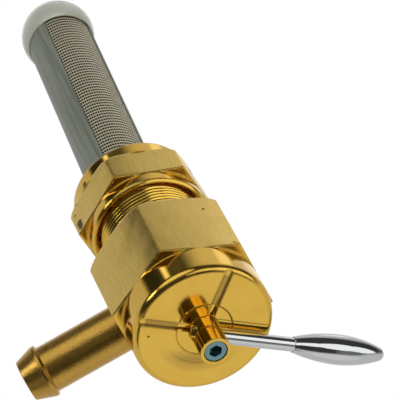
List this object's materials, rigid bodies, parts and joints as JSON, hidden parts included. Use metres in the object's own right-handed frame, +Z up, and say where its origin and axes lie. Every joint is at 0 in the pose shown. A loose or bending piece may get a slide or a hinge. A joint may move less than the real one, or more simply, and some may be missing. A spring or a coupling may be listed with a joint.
{
  "type": "fuel tap",
  "caption": "Brass fuel tap with a tank nut, a mesh screen on the inlet, a barbed hose nozzle and a spring-detented rotary lever.",
  "frame": {"origin": "centre of the tank nut's upper rim, on the valve's axis", "axes": "+Z up along the valve's axis into the tank, hose nozzle along -X"},
  "size_m": [0.0647, 0.0439, 0.1317],
  "materials": {
    "polished_brass": "mirror-polished on turned faces, fine satin on the flats",
    "satin_brass": "satin, turned",
    "plain_brass": "machined",
    "chrome": "polished chrome plate",
    "zinc_steel": "blue zinc plate",
    "spring_steel": "drawn wire",
    "steel_mesh": "fine woven mesh",
    "screen_tube": "smooth, slightly dull",
    "cap_plastic": "translucent, moulded",
    "seal_rubber": "matt",
    "gasket_fibre": "matt"
  },
  "bodies": {
    "tap": {"valve_body": "polished_brass", "hose_nozzle": "satin_brass", "tank_gasket": "gasket_fibre", "filter_ferrule": "plain_brass", "filter_frame": "screen_tube", "filter_mesh": "steel_mesh", "filter_cap": "cap_plastic", "standpipe": "plain_brass", "port_plate": "plain_brass", "port_seal": "seal_rubber", "stem_bush": "polished_brass", "stem_ring_seal": "seal_rubber", "detent_spring": "spring_steel"},
    "nut": {"tank_nut": "polished_brass"},
    "spring_seat": {"thrust_washer": "spring_steel"},
    "stem": {"rotor": "polished_brass", "rotor_ring_seal": "seal_rubber", "lever": "chrome", "set_screw": "zinc_steel"}
  },
  "joints": [
    {"name": "nut_turn", "type": "hinge", "parent": "tap", "child": "nut", "pos_m": [0, 0, 0], "axis": [0, 0, 1], "range_deg": [-360, 360]},
    {"name": "stem_pull", "type": "slide", "parent": "tap", "child": "spring_seat", "axis": [0, 0, -1], "range_m": [-0.0007, 0.001], "stiffness_N_per_m": 3000, "deforming": ["detent_spring"]},
    {"name": "lever_turn", "type": "hinge", "parent": "spring_seat", "child": "stem", "pos_m": [0, 0, 0], "axis": [0, 0, 1], "range_deg": [-180, 0]}
  ]
}
